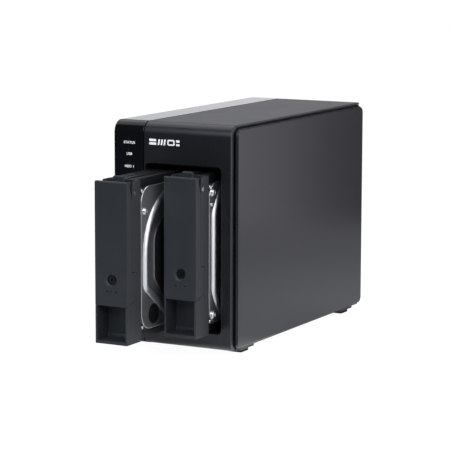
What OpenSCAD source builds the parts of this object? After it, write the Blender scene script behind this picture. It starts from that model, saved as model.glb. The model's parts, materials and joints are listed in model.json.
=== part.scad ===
// Two-bay network storage enclosure with two hot-swap trays, each holding a 3.5 inch drive.
// The front faces -Y. The origin is the centre of the enclosure's footprint, on the table.
// Both trays stand part of the way out of their bay.

/* [Enclosure] */
// Width over the two side panels
body_w = 102; // [101:0.5:106]
// Depth from the front face to the back of the side panels
body_d = 219; // [219:1:230]
// Height of the top face above the table
body_h = 168.5; // [168:0.5:174]
// Height of the feet
foot_h = 5.2; // [5:0.1:6]
// Radius of the rounded top front edge
front_r = 9; // [6:0.5:10]
// How far each side panel stands proud of the shell
panel_proud = 2.7; // [2.6:0.1:4]

/* [Front] */
// X of the groove between the glossy column and the bezel
groove_x = -23.4; // [-23.6:0.1:-23.3]
// Width of that groove
groove_w = 0.5; // [0.2:0.1:0.6]
// Thickness of the front mouldings' wall
front_wall = 3; // [2.5:0.1:3.5]
// Radius of the power button
power_button_r = 5; // [4:0.5:6]

/* [Bay] */
// Corner radius of the bay opening
bay_corner_r = 3; // [2:0.5:3]
// Clearance of the guide fins in their grooves, each side
fin_gap = 0.4; // [0.3:0.05:0.6]

/* [Trays] */
// How far the left tray is pulled out
left_pull = 73.5; // [0:0.5:120]
// How far the right tray is pulled out
right_pull = 29.7; // [0:0.1:120]
// Width of the tray's front block
block_w = 26; // [26:0.1:26.4]
// Depth of the tray's front block
block_d = 19.1; // [19:0.1:19.6]
// Height of the lower edge of the handle above the table
handle_low = 46; // [44:0.5:48]
// Radius of the hinge pin
pin_r = 1.5; // [1.2:0.1:1.8]
// Radius of the lock barrel
lock_r = 3.44; // [3:0.02:3.6]

/* [Drives] */
// Length of a 3.5 inch drive
drive_l = 147; // [146:0.1:147]
// Width of a 3.5 inch drive, upright in the bay
drive_h = 101.6; // [101:0.1:101.7]
// Thickness of a 3.5 inch drive
drive_t = 26.1; // [26:0.05:26.1]
// Corner radius of the drive's cover
cover_r = 12.5; // [8:0.5:16]

/* [Fan] */
// Side of the square fan frame
fan_side = 70; // [68:1:70]
// Number of fan blades
fan_blades = 7; // [5:1:9]
// Pitch of the fan blades in degrees
blade_pitch = 40; // [30:1:45]

/* [Hidden] */
$fn = 48;

// Colours
satin_black = [0.11, 0.12, 0.14];
gloss_black = [0.05, 0.05, 0.06];
panel_grey = [0.33, 0.33, 0.36];
tray_grey = [0.2, 0.21, 0.23];
sheet_steel = [0.55, 0.56, 0.58];
drive_grey = [0.45, 0.45, 0.48];
board_green = [0.06, 0.25, 0.16];
dark_plastic = [0.07, 0.07, 0.08];
bright_metal = [0.8, 0.8, 0.8];

// Shell: every Y below counts from the front face, and root() moves it into the part's frame
front_y = -body_d / 2;
shell_x = body_w / 2 - panel_proud;
front_d = 9;
seam = 0.3;
low_r = 5;
sheet = 1.2;
cover_t = 2.2;
top_in_z = body_h - cover_t;
base_in_z = foot_h + cover_t;
edge_r = 0.8;
shell_end_y = body_d - 1.5;
bezel_x0 = groove_x + groove_w / 2;
column_x1 = groove_x - groove_w / 2;
column_mid_x = -35.5;
flange_x = shell_x - 2.5;
flange_t = 1.6;

// Bays
bay_x = [-22.2, 40.3];
bay_z = [17.4, 138.5];
tunnel_wall = 1.8;
left_bay_x = -20;
right_bay_x = 10.4;
guide_y = [20, 172];
ceiling_z = 134.6;
floor_z = bay_z[0];
fin_w = 2;
fin_reach = 2.6;

// Tray, in its own frame: X from the block's left face, Y from its front face, Z from the table
tray_z = [18.8, 133.9];
side_wall = 1.6;
plate_d = 7.2;
chunk_d = 13.5;
chunk_top = 69.5;
handle_gap = 0.3;
pivot = [10.4, 125.2];
ear_r = 4;
lock_z = 64.6;
marks_z = 56.4;
recess_floor_z = tray_z[0] + 2.3;
rail_x0 = -1.6;
rail_x1 = 20.6;
frame_end = 168;
frame_top = 133.4;
groove_depth = 3;
// One fin runs in the rails' groove and the other beside the rails
fin_xs = [12.4, rail_x1 + fin_gap];

// Drive, in the tray's frame
drive_y0 = 20;
drive_y1 = drive_y0 + drive_l;
drive_z0 = 76.35 - drive_h / 2;
drive_z1 = 76.35 + drive_h / 2;
cover_t_drive = 1.2;
cover_x0 = drive_t - cover_t_drive;
board_t = 1.6;
plug_z = [33, 75];
mount_ys = [drive_y1 - 130.1, drive_y1 - 28.5];
mount_x = 6.35;
cover_screw_points = [[25.9, 111.1], [25.9, 44], [drive_y1 - 8, 111], [drive_y1 - 8, 42],
    [92, drive_z1 - 5], [92, drive_z0 + 5]];

// Indicators, from the top down
legend_zs = [152.7, 144.4, 135.2, 126];
pipe_rise = 3.4;
pipe_r = 0.8;
power_z = 32;
led_board_y = 13.2;

// Rear
rear_y = shell_end_y - 1.8;
rear_t = 1.6;
board_x = -31.6;
fan_x = 9;
fan_z = 104;
fan_y = [rear_y - 15.2, rear_y - 0.2];
fan_pitch = 60;
port_x = board_x - 1.9;
usb_z = 60;
dc_z = 30;
dc_x = board_x - 5.2;
dip_z = 85;
dip_pitch = 3.6;
lever_w = 1.4;
lever_x0 = board_x - 5.4;
lever_travel = 1.6;
set_z = 104;
lock_slot_z = 142;

// ---------- helpers ----------

// Moves a shape drawn from the front face into the part's frame
module root()
    translate([0, front_y, 0]) children();

module left_tray()
    root() translate([left_bay_x, -left_pull, 0]) children();

module right_tray()
    root() translate([right_bay_x, -right_pull, 0]) children();

// A box given by its lowest and highest value on each axis
module box(x, y, z)
    translate([x[0], y[0], z[0]]) cube([x[1] - x[0], y[1] - y[0], z[1] - z[0]]);

// A profile in Y and Z, drawn out along X
module along_x(x)
    translate([x[0], 0, 0]) rotate([90, 0, 90]) linear_extrude(x[1] - x[0]) children();

// A profile in X and Z, drawn out along Y
module along_y(y)
    translate([0, y[1], 0]) rotate([90, 0, 0]) linear_extrude(y[1] - y[0]) children();

// A cylinder along Y
module rod_y(r, y, at = [0, 0])
    translate([at[0], y[1], at[1]]) rotate([90, 0, 0]) cylinder(r = r, h = y[1] - y[0]);

// A cylinder along X, at a point in Y and Z
module rod_x(r, x, at = [0, 0])
    translate([x[0], at[0], at[1]]) rotate([0, 90, 0]) cylinder(r = r, h = x[1] - x[0]);

// A cylinder along Z, at a point in X and Y
module rod_z(r, z, at = [0, 0])
    translate([at[0], at[1], z[0]]) cylinder(r = r, h = z[1] - z[0]);

// A rectangle with round corners, given by its limits
module rounded(a, b, r) {
    translate([a[0] + r, b[0]]) square([a[1] - a[0] - 2 * r, b[1] - b[0]]);
    translate([a[0], b[0] + r]) square([a[1] - a[0], b[1] - b[0] - 2 * r]);
    for (p = [a[0] + r, a[1] - r], q = [b[0] + r, b[1] - r])
        translate([p, q]) circle(r);
}

// Points along an arc, for outlines
function arc(c, r, from, to, steps = 6) =
    [for (i = [0 : steps]) let (t = from + (to - from) * i / steps) c + r * [cos(t), sin(t)]];

// ---------- front mouldings ----------

// Side view of the front mouldings, with the top and bottom front edges rounded
module front_outline() {
    top = arc([front_r, body_h - front_r], front_r, 180, 90, 12);
    low = arc([low_r, foot_h + low_r], low_r, 270, 180, 10);
    polygon(concat([[front_d, foot_h]], low, top, [[front_d, body_h]]));
}

module bay_hole(grow, y)
    along_y(y) rounded([bay_x[0] - min(grow, 0.5), bay_x[1] + grow],
        [bay_z[0] - grow, bay_z[1] + grow], bay_corner_r + grow);

// The shell steps in round each side panel and keeps a narrow rim at the front and the top
module panel_recess(side)
    along_x(side > 0 ? [shell_x - 1, shell_x + 1] : [-shell_x - 1, -shell_x + 1])
        rounded([4.6, body_d + 10], [foot_h - 8, body_h - 1.7], 6);

module front_bezel()
    color(satin_black) root() difference() {
        along_x([bezel_x0, shell_x]) front_outline();
        difference() {
            box([bay_x[0], shell_x - 2.5], [front_wall, front_d + 1],
                [foot_h + 3, body_h - front_wall]);
            bay_hole(tunnel_wall, [0, front_d + 2]);
        }
        bay_hole(0, [-1, front_d + 2]);
        panel_recess(1);
    }

module indicator_column()
    color(gloss_black) root() difference() {
        union() {
            difference() {
                along_x([-shell_x, column_x1]) front_outline();
                box([-shell_x + 2.3, column_x1 - 2.3], [front_wall, front_d + 1],
                    [foot_h + 3, body_h - front_wall]);
            }
            // Bosses that carry the indicator board
            for (z = [58, 112])
                rod_y(2.6, [front_wall - 0.5, led_board_y], [column_mid_x, z]);
        }
        for (z = legend_zs)
            rod_y(pipe_r, [-1, front_wall + 1], [column_mid_x, z + pipe_rise]);
        rod_y(power_button_r + 0.15, [-1, front_wall + 1], [column_mid_x, power_z]);
        for (z = [58, 112])
            rod_y(1, [led_board_y - 6, led_board_y + 1], [column_mid_x, z]);
        panel_recess(-1);
    }

module light_pipes()
    color([0.25, 0.27, 0.3]) root()
        for (z = legend_zs)
            rod_y(pipe_r, [0, led_board_y - 1.6], [column_mid_x, z + pipe_rise]);

module power_button()
    color(dark_plastic) root() difference() {
        union() {
            rod_y(power_button_r, [0.2, front_wall + 1.4], [column_mid_x, power_z]);
            rod_y(power_button_r + 1.2, [front_wall + 0.2, front_wall + 1.4],
                [column_mid_x, power_z]);
            rod_y(1.8, [front_wall + 1, led_board_y - 2.7], [column_mid_x, power_z]);
        }
        // A shallow dish for the fingertip
        translate([column_mid_x, -22.9, power_z]) sphere(23.5, $fn = 96);
    }

module led_board()
    color(board_green) root() difference() {
        union() {
            box([-43, -28], [led_board_y, led_board_y + board_t], [22, 160]);
            // One surface-mount indicator behind each light pipe
            for (z = legend_zs)
                box([column_mid_x - 1.6, column_mid_x + 1.6],
                    [led_board_y - 1.3, led_board_y + 0.2],
                    [z + pipe_rise - 0.8, z + pipe_rise + 0.8]);
            // Tact switch behind the power button
            box([column_mid_x - 3, column_mid_x + 3], [led_board_y - 1.4, led_board_y + 0.2],
                [power_z - 3, power_z + 3]);
        }
        for (z = [58, 112])
            rod_y(1.1, [led_board_y - 1, led_board_y + 3], [column_mid_x, z]);
    }

// ---------- shell ----------

module shell_top(x0, x1, side) {
    round_x = side > 0 ? x1 - edge_r : x0 + edge_r;
    along_y([front_d + seam, shell_end_y]) {
        translate([x0, top_in_z]) square([x1 - x0, cover_t - edge_r]);
        translate([side > 0 ? x0 : round_x, body_h - edge_r])
            square([x1 - x0 - edge_r, edge_r]);
        translate([round_x, body_h - edge_r]) circle(edge_r);
    }
    // Flange down the side, and the tab that takes the rear screw
    fx = side > 0 ? [flange_x - flange_t, flange_x] : [-flange_x, -flange_x + flange_t];
    box(fx, [front_d + 3, rear_y - 0.4], [body_h - 18, top_in_z + 0.2]);
    tab = side > 0 ? [30, flange_x] : [-flange_x, -28];
    box(tab, [rear_y - 2, rear_y], [body_h - 14, top_in_z + 0.2]);
}

module top_cover()
    color([0.2, 0.2, 0.22]) root() difference() {
        shell_top(bezel_x0, shell_x, 1);
        panel_recess(1);
        rod_y(1.3, [rear_y - 3, rear_y + 1], [37, 161]);
    }

module gloss_top_strip()
    color(gloss_black) root() difference() {
        shell_top(-shell_x, column_x1, -1);
        panel_recess(-1);
        rod_y(1.3, [rear_y - 3, rear_y + 1], [-37, 161]);
    }

module base_plate()
    color(satin_black) root() difference() {
        union() {
            box([-shell_x, shell_x], [front_d + seam, shell_end_y], [foot_h, base_in_z]);
            for (s = [-1, 1]) {
                inner = s > 0 ? [flange_x - flange_t, flange_x] : [-flange_x, -flange_x + flange_t];
                box(inner, [front_d + 3, rear_y - 0.4], [base_in_z - 0.2, 22]);
                tab = s > 0 ? [30, flange_x] : [-flange_x, -28];
                box(tab, [rear_y - 2, rear_y], [base_in_z - 0.2, 18]);
            }
        }
        for (s = [-1, 1])
            rod_y(1.3, [rear_y - 3, rear_y + 1], [s * 37, 12.5]);
        // Cooling slots below the drives
        for (x = [-18 : 9 : 36], y = [62, 96, 130])
            box([x, x + 3], [y, y + 24], [foot_h - 1, base_in_z + 1]);
    }

module side_panel()
    difference() {
        union() {
            along_x([shell_x + 0.2, body_w / 2 - 1])
                rounded([6, body_d], [foot_h + 1.5, body_h - 2.8], 5);
            // The outer skin is a little smaller all round, which softens the edge
            along_x([body_w / 2 - 1.1, body_w / 2])
                rounded([6.6, body_d - 0.6], [foot_h + 2.1, body_h - 3.4], 4.6);
            // Hooks that slide behind the shell's flanges
            for (y = [40, 105, 170], z = [28, body_h - 26])
                box([flange_x + 0.3, shell_x + 1], [y, y + 12], [z, z + 5]);
        }
        // Hollow side, with the rim left all round
        along_x([shell_x - 3, body_w / 2 - 2])
            difference() {
                rounded([8.5, body_d - 2.5], [foot_h + 4, body_h - 5.3], 3.5);
                for (y = [40, 105, 170], z = [28, body_h - 26])
                    translate([y - 1, z - 1]) square([14, 7]);
            }
    }

module right_side_panel()
    color(panel_grey) root() side_panel();

module left_side_panel()
    color(panel_grey) root() mirror([1, 0, 0]) side_panel();

module foot_bases()
    color(dark_plastic) root()
        for (s = [-1, 1], y = [19, 190]) {
            translate([min(s * 31, s * 45.5), y, 0])
                translate([0, 0, 2.4]) linear_extrude(foot_h - 2.4)
                    rounded([0, 14.5], [0, 25], 2.5);
        }

module foot_pads()
    color([0.03, 0.03, 0.03]) root()
        for (s = [-1, 1], y = [25, 197])
            translate([min(s * 32.5, s * 44), y, 0])
                linear_extrude(2.4) rounded([0, 11.5], [0, 12], 1.5);

// ---------- bays ----------

// Fins for both trays, in the enclosure's frame
module fins(z)
    for (bay = [left_bay_x, right_bay_x], x = fin_xs)
        box([bay + x, bay + x + fin_w], [guide_y[0] + 4, guide_y[1] - 6], z);

module lower_bay_guide()
    color(dark_plastic) root() difference() {
        union() {
            box([bay_x[0], bay_x[1]], guide_y, [floor_z - 2, floor_z]);
            for (x = [bay_x[0], bay_x[1] - 2])
                box([x, x + 2], guide_y, [base_in_z, floor_z - 1]);
            box(bay_x, [guide_y[1] - 6, guide_y[1]], [base_in_z, floor_z]);
            fins([floor_z - 0.5, tray_z[0] + fin_reach]);
        }
        for (x = [-12, 30])
            rod_y(1.2, [guide_y[1] - 5, guide_y[1] + 1], [x, 12.6]);
        for (x = [-18 : 9 : 36], y = [62, 96, 130])
            box([x, x + 3], [y, y + 24], [floor_z - 3, floor_z + 0.4]);
    }

module upper_bay_guide()
    color(dark_plastic) root() difference() {
        union() {
            box(bay_x, guide_y, [ceiling_z, ceiling_z + 2]);
            box(bay_x, [guide_y[1] - 6, guide_y[1]], [ceiling_z, ceiling_z + 10]);
            for (x = [bay_x[0], bay_x[1] - 2])
                box([x, x + 2], guide_y, [ceiling_z + 1, ceiling_z + 10]);
            fins([frame_top - fin_reach, ceiling_z + 0.5]);
        }
        for (x = [-12, 30])
            rod_y(1.2, [guide_y[1] - 5, guide_y[1] + 1], [x, 140]);
    }

module cage_left_wall()
    color(sheet_steel) root() difference() {
        union() {
            box([bay_x[0] - sheet - 0.1, bay_x[0] - 0.1], [front_d + 1, guide_y[1] - 1],
                [base_in_z, top_in_z]);
            box([bay_x[0] - 9, bay_x[0] - 0.1], [front_d + 12, guide_y[1] - 20],
                [base_in_z, base_in_z + sheet]);
        }
        for (y = [40 : 14 : 124], z = [40, 78])
            box([bay_x[0] - 3, bay_x[0] + 1], [y, y + 6], [z, z + 26]);
        for (y = [153, 165], z = [26, 112])
            rod_x(1.1, [bay_x[0] - 3, bay_x[0] + 1], [y, z]);
    }

module cage_right_wall()
    color(sheet_steel) root() difference() {
        union() {
            box([bay_x[1] + 0.1, bay_x[1] + 0.1 + sheet], [front_d + 1, guide_y[1] - 1],
                [base_in_z, top_in_z]);
            box([bay_x[1] - 9, bay_x[1] + 0.1 + sheet], [front_d + 3, guide_y[1] - 20],
                [top_in_z - sheet, top_in_z]);
        }
        for (y = [40 : 14 : 138], z = [40, 78])
            box([bay_x[1] - 1, bay_x[1] + 3], [y, y + 6], [z, z + 26]);
    }

// ---------- electronics ----------

module backplane_board()
    color(board_green) root() difference() {
        union() {
            box([-20, 38], [guide_y[1] + 0.2, guide_y[1] + 0.2 + board_t], [9, 144]);
            // The edge that reaches the main board
            box([board_x - 1.4, -19], [guide_y[1] + 0.2, guide_y[1] + 0.2 + board_t], [86, 112]);
        }
        for (x = [-12, 30], z = [12.6, 140])
            rod_y(1.25, [guide_y[1] - 1, guide_y[1] + 4], [x, z]);
        // Air holes behind the drives
        for (x = [-14, 2, 18], z = [82, 102])
            along_y([guide_y[1] - 1, guide_y[1] + 4]) rounded([x, x + 12], [z, z + 15], 3);
    }

module sata_receptacles()
    color(dark_plastic) root()
        for (bay = [left_bay_x, right_bay_x])
            difference() {
                box([bay + 1, bay + 9], [drive_y1 + 0.3, guide_y[1] + 0.2],
                    [plug_z[0] - 1, plug_z[1] + 1]);
                // The two keyed contact slots
                for (z = [[plug_z[0] + 1, plug_z[0] + 23], [plug_z[0] + 27, plug_z[1] - 1]])
                    box([bay + 4, bay + 6], [drive_y1, drive_y1 + 3.5], z);
            }

module main_board()
    color(board_green) root() difference() {
        box([board_x, board_x + board_t], [146, rear_y - 3.6], [16, 122]);
        for (y = [153, 205], z = [26, 112])
            rod_x(1.3, [board_x - 1, board_x + 3], [y, z]);
        // Notch that takes the backplane's edge
        box([board_x - 1, board_x + 3], [guide_y[1] - 0.1, guide_y[1] + 2.1], [85.7, 112.3]);
    }

module bridge_chip()
    color(dark_plastic) root() {
        box([board_x - 1.2, board_x], [178, 192], [36, 50]);
        for (z = [66, 76])
            box([board_x - 1, board_x], [152, 162], [z, z + 6]);
        box([board_x - 4, board_x], [154, 166], [34, 46]);
    }

module heatsink()
    color([0.62, 0.63, 0.65]) root()
        union() {
            box([board_x - 3, board_x - 1.2], [176, 194], [34, 52]);
            for (i = [0 : 5])
                box([board_x - 9, board_x - 2.5], [176, 194], [34 + i * 3.4, 35 + i * 3.4]);
        }

module usb_port()
    color(bright_metal) root() difference() {
        along_y([rear_y - 7.4, rear_y + 0.6])
            rounded([board_x - 3.5, board_x - 0.2], [usb_z - 4.5, usb_z + 4.5], 1.6);
        difference() {
            along_y([rear_y - 6, rear_y + 1])
                rounded([board_x - 3.1, board_x - 0.6], [usb_z - 4.1, usb_z + 4.1], 1.2);
            box([board_x - 2.2, board_x - 1.5], [rear_y - 7, rear_y + 0.1],
                [usb_z - 3.3, usb_z + 3.3]);
        }
    }

module dc_inlet()
    color(dark_plastic) root() difference() {
        box([dc_x - 5, board_x - 0.1], [rear_y - 12.6, rear_y + 0.4], [dc_z - 5.5, dc_z + 5.5]);
        difference() {
            rod_y(3.2, [rear_y - 10, rear_y + 1], [dc_x, dc_z]);
            rod_y(1, [rear_y - 11, rear_y - 0.6], [dc_x, dc_z]);
        }
    }

module mode_switch()
    color([0.35, 0.05, 0.05]) root() difference() {
        box([board_x - 6.6, board_x - 0.1], [rear_y - 6.4, rear_y + 0.8],
            [dip_z - 7, dip_z + 7]);
        for (i = [-1 : 1])
            box([lever_x0 - 0.15, lever_x0 + lever_w + lever_travel + 0.15],
                [rear_y - 2.6, rear_y + 1],
                [dip_z + i * dip_pitch - lever_w / 2 - 0.1, dip_z + i * dip_pitch + lever_w / 2 + 0.1]);
    }

module mode_lever(i)
    color([0.9, 0.9, 0.88]) root()
        box([lever_x0, lever_x0 + lever_w], [rear_y - 2.5, rear_y + 1.7],
            [dip_z + i * dip_pitch - lever_w / 2, dip_z + i * dip_pitch + lever_w / 2]);

module mode_lever_1()
    mode_lever(1);

module mode_lever_2()
    mode_lever(0);

module mode_lever_3()
    mode_lever(-1);

module set_button()
    color(dark_plastic) root() {
        rod_y(1.7, [rear_y - 3.6, rear_y + rear_t + 0.9], [port_x - 1.6, set_z]);
        rod_y(2.5, [rear_y - 2.4, rear_y - 1.4], [port_x - 1.6, set_z]);
    }

module board_standoffs()
    color(bright_metal) root()
        for (z = [26, 112]) {
            // Two standoffs on the cage wall, and two that stand behind its end
            difference() {
                rod_x(2.6, [board_x + board_t, bay_x[0] - 0.1 - sheet], [153, z]);
                rod_x(1.1, [board_x + board_t - 1, board_x + board_t + 4], [153, z]);
            }
            rod_x(2.6, [board_x - 1.6, board_x], [153, z]);
            rod_x(1.1, [board_x - 1, board_x + board_t + 3], [153, z]);
        }

// ---------- fan ----------

module fan_frame()
    color(dark_plastic) root() translate([fan_x, 0, fan_z]) difference() {
        union() {
            difference() {
                along_y(fan_y) rounded([-fan_side / 2, fan_side / 2],
                    [-fan_side / 2, fan_side / 2], 4);
                rod_y(fan_side / 2 - 0.8, [fan_y[0] - 1, fan_y[1] + 1]);
            }
            // Struts and the seat of the motor
            for (a = [0, 90, 180, 270])
                rotate([0, a + 45, 0]) box([-1.5, 1.5], [fan_y[1] - 2, fan_y[1]],
                    [7, fan_side / 2 + 0.5]);
            rod_y(12.5, [fan_y[1] - 2, fan_y[1]]);
            rod_y(8, [fan_y[0] + 4.6, fan_y[1] - 1]);
        }
        rod_y(1.55, [fan_y[0] + 3, fan_y[1] - 0.8]);
        for (x = [-1, 1], z = [-1, 1])
            rod_y(2, [fan_y[0] - 1, fan_y[1] + 1], [x * fan_pitch / 2, z * fan_pitch / 2]);
    }

module fan_rotor()
    color([0.1, 0.1, 0.11]) root() translate([fan_x, 0, fan_z]) {
        difference() {
            rod_y(13, [fan_y[0] + 0.8, fan_y[1] - 2.6]);
            rod_y(11.4, [fan_y[0] + 2.4, fan_y[1]]);
        }
        rod_y(1.5, [fan_y[0] + 1.6, fan_y[1] - 1.4]);
        for (i = [0 : fan_blades - 1])
            rotate([0, i * 360 / fan_blades, 0]) translate([0, (fan_y[0] + fan_y[1]) / 2 - 0.6, 12.4])
                rotate([0, 0, blade_pitch]) translate([-0.7, -6.6, 0]) cube([1.4, 13.2, 20.2]);
    }

module fan_screws()
    color(bright_metal) root()
        for (x = [-1, 1], z = [-1, 1]) {
            at = [fan_x + x * fan_pitch / 2, fan_z + z * fan_pitch / 2];
            difference() {
                union() {
                    rod_y(2, [fan_y[1] - 8, rear_y + rear_t + 0.1], at);
                    rod_y(3.4, [rear_y + rear_t, rear_y + rear_t + 1.4], at);
                }
                cross_slot(at, rear_y + rear_t + 1.4, 3.4);
            }
        }

// The cross recess of a screw whose head faces +Y
module cross_slot(at, y, w)
    for (s = [[w / 2, 0.35], [0.35, w / 2]])
        box([at[0] - s[0], at[0] + s[0]], [y - 0.8, y + 0.2], [at[1] - s[1], at[1] + s[1]]);

module fan_cable()
    color([0.08, 0.08, 0.08]) root() {
        y = fan_y[0] - 3;
        rod_x(1.2, [board_x - 3.4, -20], [y, 130]);
        rod_z(1.2, [120, 130], [-20, y]);
        translate([-20, y, 130]) sphere(1.2);
        translate([-20, y, 120]) sphere(1.2);
        rod_y(1.2, [y, fan_y[0]], [-20, 120]);
    }

// ---------- rear ----------

module rear_panel()
    color([0.12, 0.12, 0.13]) root() difference() {
        box([-shell_x + 0.2, shell_x - 0.2], [rear_y, rear_y + rear_t],
            [base_in_z + 0.1, top_in_z - 0.1]);
        // Honeycomb in front of the fan
        for (i = [-5 : 5], j = [-5 : 5]) {
            x = (i + (j % 2 == 0 ? 0 : 0.5)) * 6;
            z = j * 5.2;
            if (sqrt(x * x + z * z) < fan_side / 2 - 5)
                translate([fan_x + x, rear_y + 3, fan_z + z]) rotate([90, 0, 0])
                    rotate([0, 0, 30]) cylinder(r = 3, h = 5, $fn = 6);
        }
        for (x = [-1, 1], z = [-1, 1])
            rod_y(2.1, [rear_y - 1, rear_y + 3], [fan_x + x * fan_pitch / 2, fan_z + z * fan_pitch / 2]);
        for (x = [-37, 37], z = [12.5, 161])
            rod_y(1.6, [rear_y - 1, rear_y + 3], [x, z]);
        along_y([rear_y - 1, rear_y + 3])
            rounded([board_x - 3.7, board_x], [usb_z - 4.7, usb_z + 4.7], 1.7);
        box([dc_x - 5.2, board_x + 0.1], [rear_y - 1, rear_y + 3], [dc_z - 5.7, dc_z + 5.7]);
        box([board_x - 6.8, board_x + 0.1], [rear_y - 1, rear_y + 3], [dip_z - 7.2, dip_z + 7.2]);
        rod_y(1.9, [rear_y - 1, rear_y + 3], [port_x - 1.6, set_z]);
        along_y([rear_y - 1, rear_y + 3])
            rounded([port_x - 2.9, port_x + 0.1 + 4], [lock_slot_z - 1.6, lock_slot_z + 1.6], 0.8);
    }

module rear_screws()
    color(bright_metal) root()
        for (x = [-37, 37], z = [12.5, 161])
            difference() {
                union() {
                    rod_y(1.3, [rear_y - 2.6, rear_y + rear_t + 0.1], [x, z]);
                    rod_y(2.9, [rear_y + rear_t, rear_y + rear_t + 1.4], [x, z]);
                }
                cross_slot([x, z], rear_y + rear_t + 1.4, 3);
            }

module internal_screws()
    color(bright_metal) root() {
        y = guide_y[1] + 0.2 + board_t;
        for (x = [-12, 30], z = [12.6, 140]) {
            rod_y(1.2, [guide_y[1] - 4.8, y + 0.1], [x, z]);
            rod_y(2.4, [y, y + 1.3], [x, z]);
        }
        for (z = [58, 112]) {
            rod_y(1, [led_board_y - 5.5, led_board_y + board_t + 0.1], [column_mid_x, z]);
            rod_y(2, [led_board_y + board_t, led_board_y + board_t + 1.2], [column_mid_x, z]);
        }
    }

// ---------- trays ----------

// Side view of the handle: a plate that thickens into the lock housing at its lower end
module handle_outline()
    polygon(concat(
        [[0, handle_low]],
        arc([1.2, tray_z[1] - 1.2], 1.2, 180, 90),
        [[3, tray_z[1]], [plate_d, pivot[1] - 3.2], [plate_d, chunk_top]],
        arc([chunk_d - 2.2, chunk_top - 2.2], 2.2, 90, 0),
        arc([chunk_d - 2.2, handle_low + 6], 2.2, 0, -70)));

// The space that the handle needs in the block's side walls, with room for its swing
module handle_room() {
    g = handle_gap;
    polygon(concat(
        [[-1, handle_low - g], [0, handle_low - g]],
        arc([chunk_d - 2.2, handle_low + 6 - 0.1], 2.2 + g, -70, 0),
        arc([chunk_d - 2.2, chunk_top - 2.2], 2.2 + g, 0, 90),
        [[plate_d + g, chunk_top + g], [plate_d + g, pivot[1] + 2.6],
            [plate_d + 3.8, tray_z[1] + 0.2], [plate_d + 3.8, tray_z[1] + 5], [-1, tray_z[1] + 5]]));
}

module tray_block()
    color(tray_grey) difference() {
        box([0, block_w], [0, block_d], tray_z);
        along_x([-1, block_w + 1]) handle_room();
        // Hollow behind the handle
        box([side_wall, block_w - side_wall], [5, block_d - 1.6], [chunk_top + 2, tray_z[1] + 1]);
        // Finger recess, with a rounded floor at its back
        along_x([side_wall, block_w - side_wall])
            polygon(concat([[-1, recess_floor_z]],
                arc([12, recess_floor_z + 3.5], 3.5, 270, 360),
                [[15.5, chunk_top + 3], [-1, chunk_top + 3]]));
        rod_x(pin_r, [-1, block_w + 1], pivot);
    }

module tray_handle()
    color(tray_grey) difference() {
        union() {
            difference() {
                along_x([0, block_w]) handle_outline();
                along_x([side_wall, block_w - side_wall])
                    polygon([[2.2, handle_low + 3], [chunk_d - 1.6, handle_low + 6.9],
                        [chunk_d - 1.6, chunk_top + 2], [plate_d + 2, chunk_top + 2],
                        [plate_d + 2, tray_z[1] - 1.6], [2.2, tray_z[1] - 1.6]]);
            }
            // Ears that turn on the hinge pin
            for (x = [2.1, block_w - 4.5]) {
                rod_x(ear_r, [x, x + 2.4], pivot);
                box([x, x + 2.4], [1.5, pivot[0]], [pivot[1] - ear_r, tray_z[1] - 1.1]);
            }
            // Tooth that levers the tray out
            box([11.4, 19.4], [1.5, 8.9], [pivot[1] + 2.8, pivot[1] + 5.6]);
            along_x([11.4, 19.4])
                polygon(concat([[6.2, pivot[1] + 3]],
                    arc([7.1, pivot[1] + 11.2], 0.9, 180, 90), [[8.9, pivot[1] + 12.1],
                    [8.9, pivot[1] + 3]]));
            // Collar that guides the lock barrel
            rod_y(5.2, [2, 9], [block_w / 2, lock_z]);
        }
        rod_x(pin_r + 0.06, [-1, block_w + 1], pivot);
        rod_y(lock_r + 0.06, [-1, 10], [block_w / 2, lock_z]);
        // Dished rim round the lock
        translate([block_w / 2, 0, lock_z]) rotate([-90, 0, 0])
            translate([0, 0, -0.01]) cylinder(r1 = 5, r2 = 3.5, h = 1.2);
        // Lock position marks
        for (x = [-3.2, 4.2])
            rod_y(0.65, [-1, 0.5], [block_w / 2 + x, marks_z]);
        box([block_w / 2 - 0.2, block_w / 2 + 0.2], [-1, 0.4], [marks_z - 1, marks_z + 1]);
    }

module handle_pin()
    color(bright_metal) rod_x(pin_r, [0, block_w], pivot);

// A close-wound torsion spring round the pin, with its two legs bent down against the block
module handle_spring()
    color(bright_metal) {
        r_in = 2;
        r_out = 2.6;
        pitch = 0.62;
        turns = 5;
        x0 = 5.2;
        leg = 0.5;
        // The turns lie against each other, so their outside is a row of ridges
        ridges = [for (i = [0 : turns - 1])
            each [[r_out - 0.25, i * pitch], [r_out, (i + 0.5) * pitch]]];
        translate([x0, pivot[0], pivot[1]]) rotate([0, 90, 0]) rotate_extrude()
            polygon(concat([[r_in, 0]], ridges,
                [[r_out - 0.25, turns * pitch], [r_in, turns * pitch]]));
        for (x = [x0 + 0.05, x0 + turns * pitch - leg - 0.05])
            box([x, x + leg], [pivot[0] + r_in, pivot[0] + r_in + leg],
                [pivot[1] - 12, pivot[1]]);
    }

module lock_barrel()
    color([0.12, 0.12, 0.13]) difference() {
        union() {
            rod_y(lock_r, [2.2, 9.4], [block_w / 2, lock_z]);
            rod_y(2.2, [1.4, 3], [block_w / 2, lock_z]);
            // Cam at the back of the barrel
            box([block_w / 2 - 6, block_w / 2 + 6], [9.3, 10.6], [lock_z - 2, lock_z + 2]);
        }
        box([block_w / 2 - 0.4, block_w / 2 + 0.4], [0, 4.5], [lock_z - 1.5, lock_z + 1.5]);
    }

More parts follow.
